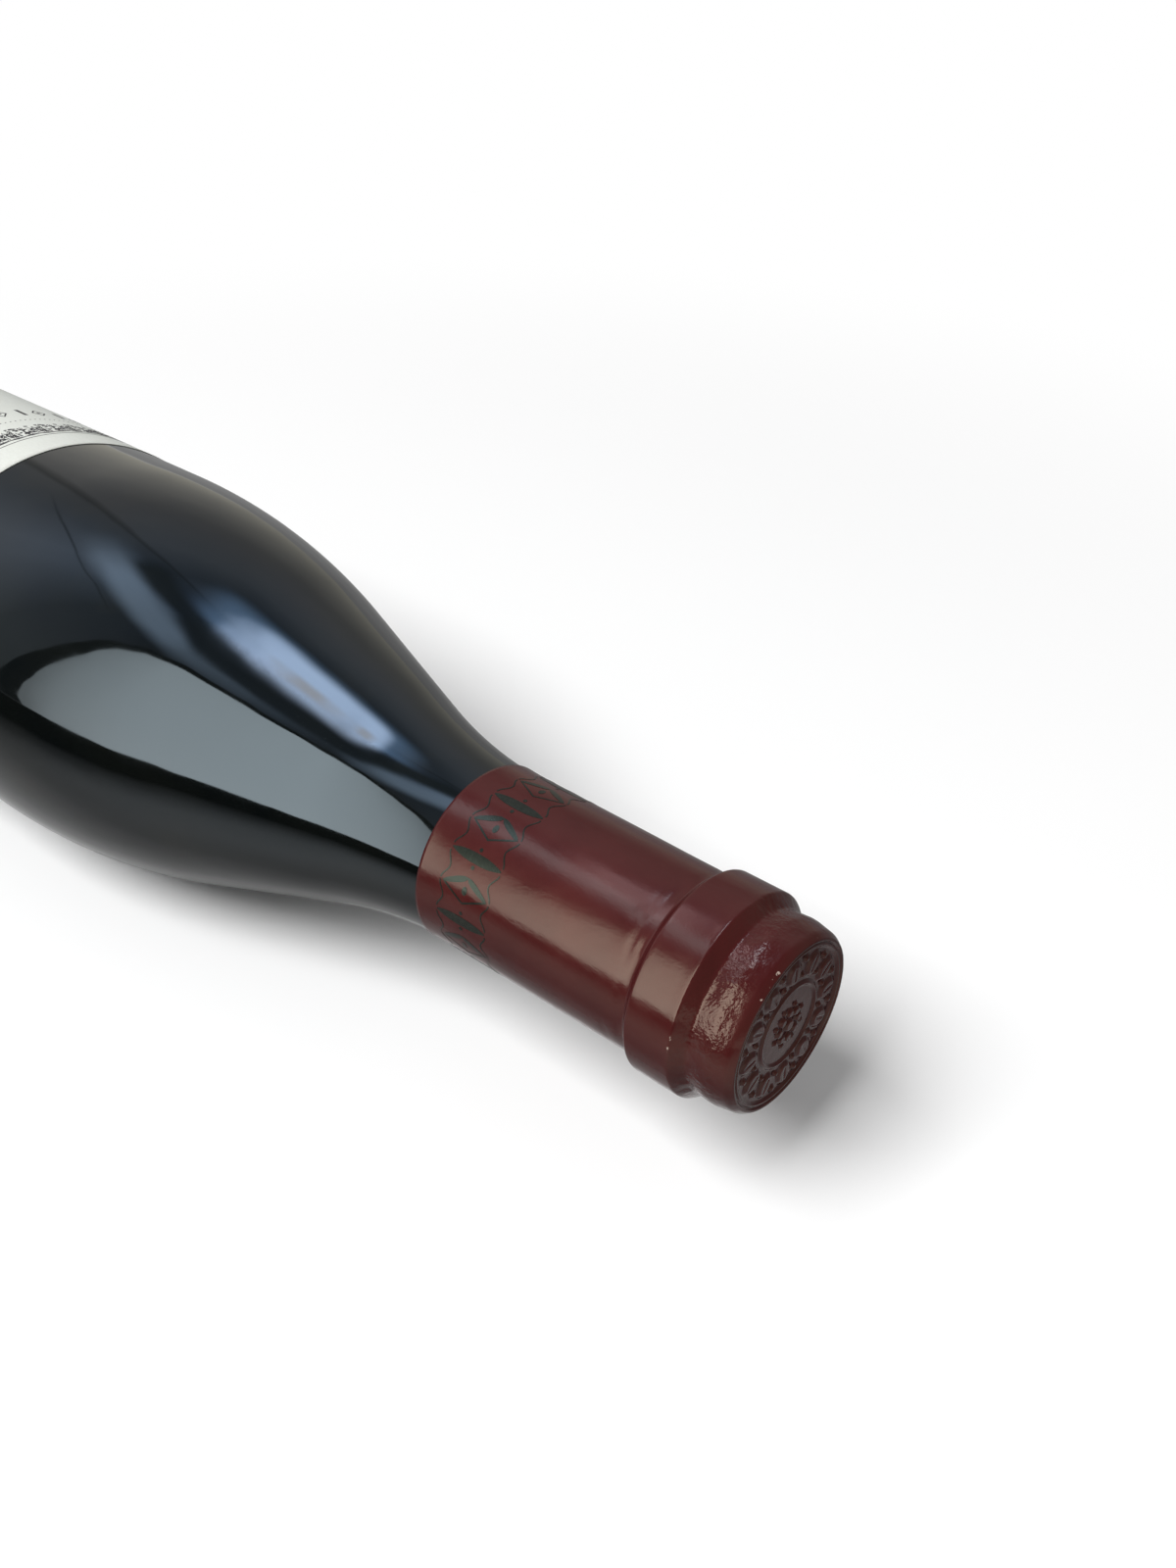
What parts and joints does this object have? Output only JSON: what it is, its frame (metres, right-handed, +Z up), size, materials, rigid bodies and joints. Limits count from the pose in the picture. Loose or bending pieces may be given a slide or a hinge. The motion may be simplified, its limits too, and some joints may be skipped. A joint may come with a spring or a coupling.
{
  "type": "wine bottle",
  "caption": "Dark sealed Burgundy wine bottle lying on its side, with a foil capsule over its mouth and a paper label on its body.",
  "frame": {"origin": "under the middle of the bottle's length, on the surface it lies on", "axes": "+X along the bottle's axis towards its mouth, +Z up through the middle of the label"},
  "size_m": [0.298, 0.078, 0.0779],
  "materials": {
    "dark_glass": "near-black green glass with dark wine behind it, polished",
    "oxblood_foil": "oxblood lacquered foil, satin, finely wrinkled, stamped end",
    "label_paper": "off-white uncoated paper with a dark grey engraved frieze"
  },
  "bodies": {
    "root": {"glass_bottle": "dark_glass", "foil_capsule": "oxblood_foil", "paper_label": "label_paper"}
  },
  "joints": []
}
